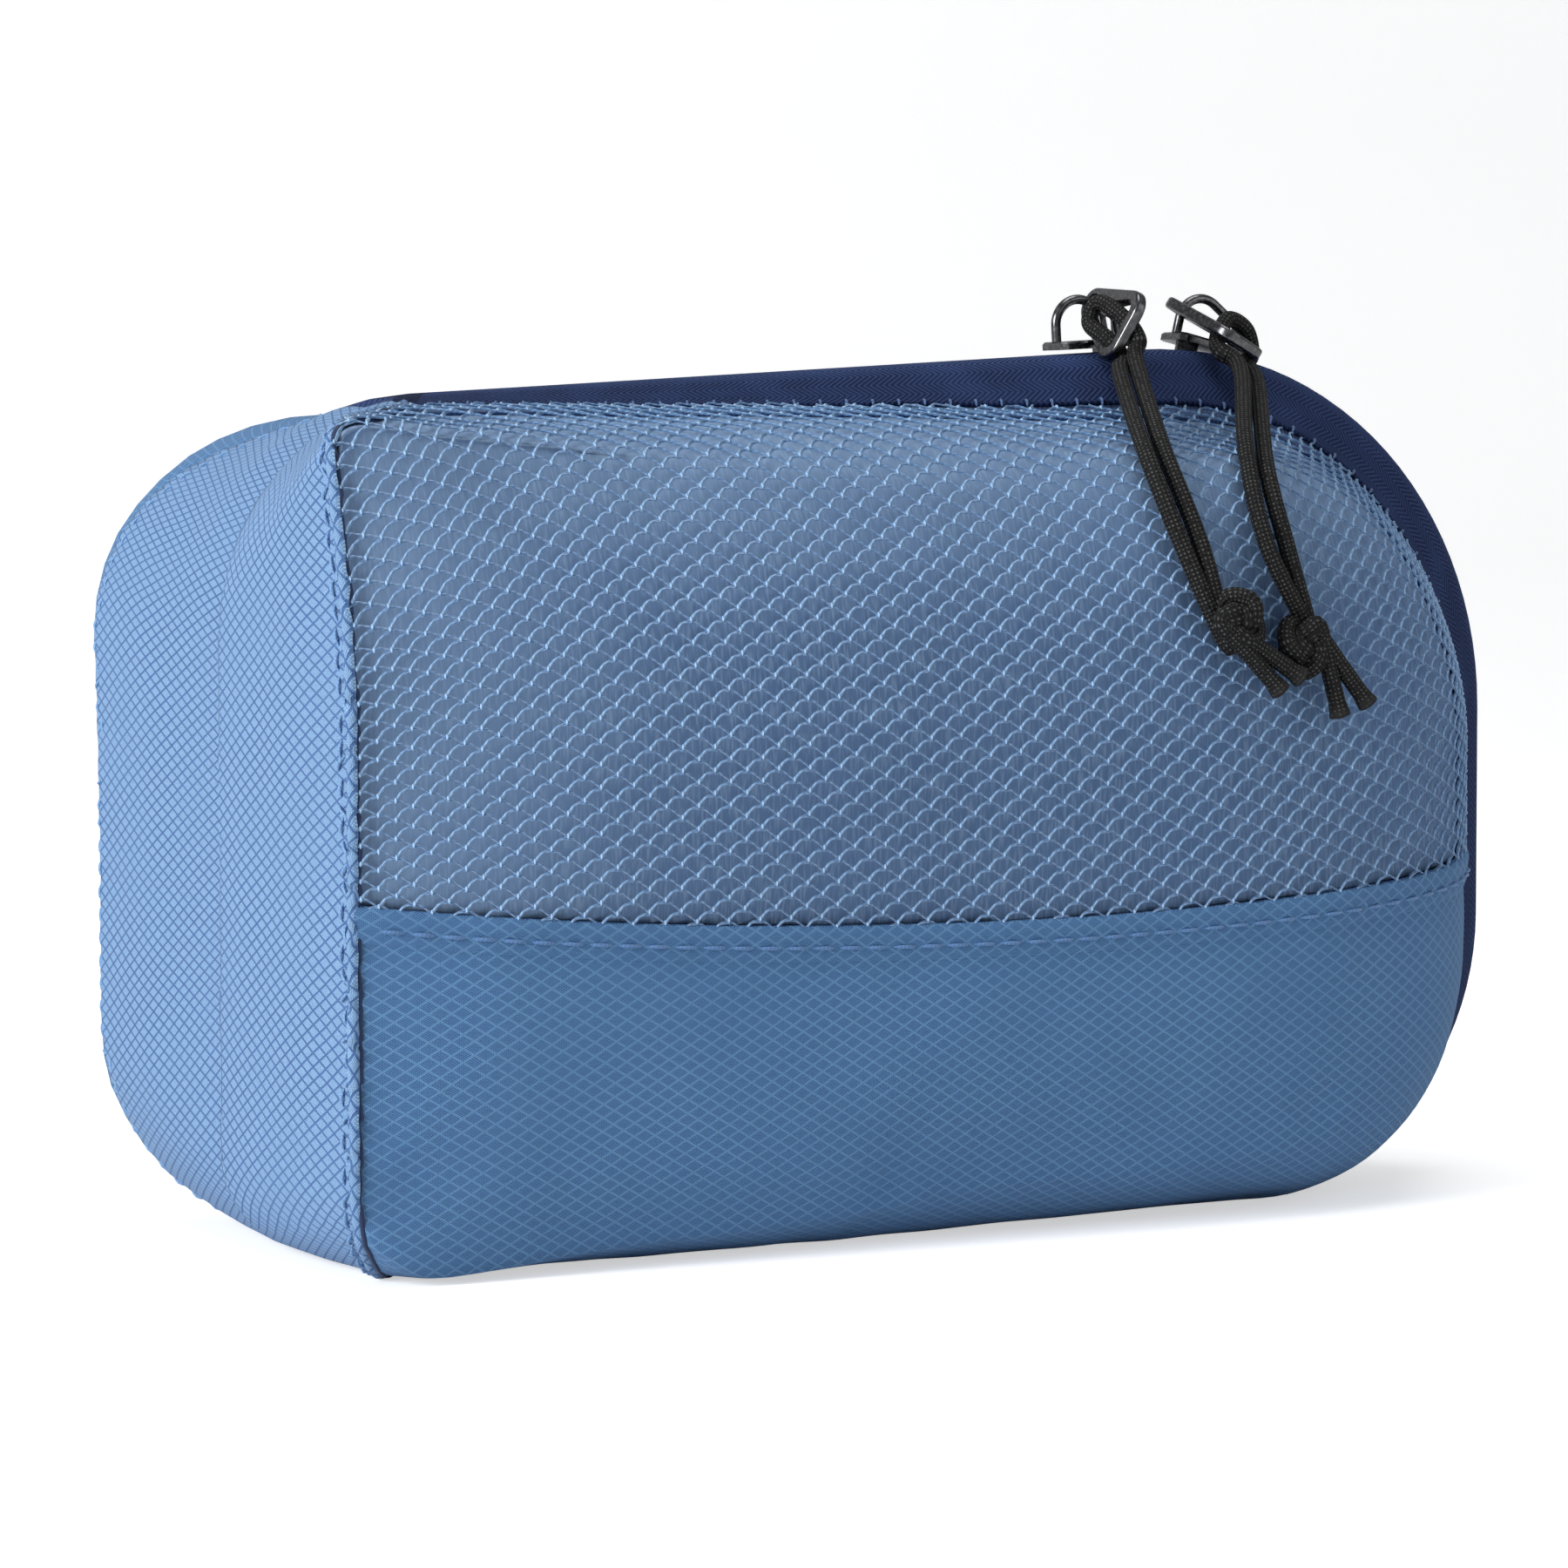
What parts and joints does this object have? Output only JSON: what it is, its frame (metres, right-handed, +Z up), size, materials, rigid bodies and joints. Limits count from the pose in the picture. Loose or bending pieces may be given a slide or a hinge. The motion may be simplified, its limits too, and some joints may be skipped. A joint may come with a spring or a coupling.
{
  "type": "packing cube",
  "caption": "Small zipped packing cube standing on its long side: ripstop shell, net window, wrap-round zip and cord pulls on metal rings",
  "frame": {"origin": "on the floor, below the middle of the bag", "axes": "+X from the closed end panel to the rounded zip end, -Y out of the mesh front, +Z up"},
  "size_m": [0.1875, 0.0874, 0.1221],
  "materials": {
    "ripstop": "light-blue woven ripstop with a fine diamond grid",
    "mesh": "light-blue warp-knit net",
    "zip_tape": "navy twill zip tape",
    "zip_coil": "navy nylon coil",
    "binding": "woven binding tape",
    "thread": "light-blue polyester thread",
    "gunmetal": "polished gunmetal plate",
    "cord": "black braided cord"
  },
  "bodies": {
    "shell": {"end_panel": "ripstop", "back_panel": "ripstop", "back_zip_tape": "zip_tape", "back_zip_coil": "zip_coil", "back_rim_binding": "binding", "end_front_binding": "binding", "end_back_binding": "binding", "back_rim_stitching": "thread", "end_front_topstitch": "thread", "end_back_topstitch": "thread"},
    "flap": {"front_mesh_panel": "mesh", "front_lower_panel": "ripstop", "front_zip_tape": "zip_tape", "front_zip_coil": "zip_coil", "front_rim_binding": "binding", "front_rim_stitching": "thread", "hem_stitching": "thread"},
    "left_slider": {"left_slider_body": "gunmetal", "left_slider_strap": "gunmetal"},
    "left_ring": {"left_pull_ring": "gunmetal"},
    "left_cord": {"left_pull_cord": "cord"},
    "right_slider": {"right_slider_body": "gunmetal", "right_slider_strap": "gunmetal"},
    "right_ring": {"right_pull_ring": "gunmetal"},
    "right_cord": {"right_pull_cord": "cord"}
  },
  "joints": [
    {"name": "flap_swing", "type": "hinge", "parent": "shell", "child": "flap", "pos_m": [-0.0886, -0.0352, 0.055], "axis": [0, 0, -1], "range_deg": [0, 120]},
    {"name": "left_slider_run", "type": "slide", "parent": "flap", "child": "left_slider", "axis": [-0.9981, 0, -0.061], "range_m": [0, 0.088]},
    {"name": "left_ring_lift", "type": "hinge", "parent": "left_slider", "child": "left_ring", "pos_m": [0.03322, 0, 0.11972], "axis": [-0.9232, 0, 0.3843], "range_deg": [0, 50]},
    {"name": "left_cord_swing", "type": "hinge", "parent": "left_ring", "child": "left_cord", "pos_m": [0.03179, -0.01089, 0.11631], "axis": [-0.3638, 0.3221, -0.874], "range_deg": [0, 35]},
    {"name": "right_slider_run", "type": "hinge", "parent": "flap", "child": "right_slider", "pos_m": [0.043, 0, 0.06504], "axis": [0, 1, 0], "range_deg": [0, 78]},
    {"name": "right_ring_lift", "type": "hinge", "parent": "right_slider", "child": "right_ring", "pos_m": [0.04685, 0, 0.1193], "axis": [-0.8121, -0.5139, 0.2765], "range_deg": [0, 40]},
    {"name": "right_cord_swing", "type": "hinge", "parent": "right_ring", "child": "right_cord", "pos_m": [0.05112, -0.00944, 0.11431], "axis": [-0.8121, -0.5139, 0.2765], "range_deg": [0, 40]}
  ],
  "couplings": [
    {"joint": "left_ring_lift", "follows": "left_slider_run", "rad_per_m": 9}
  ]
}
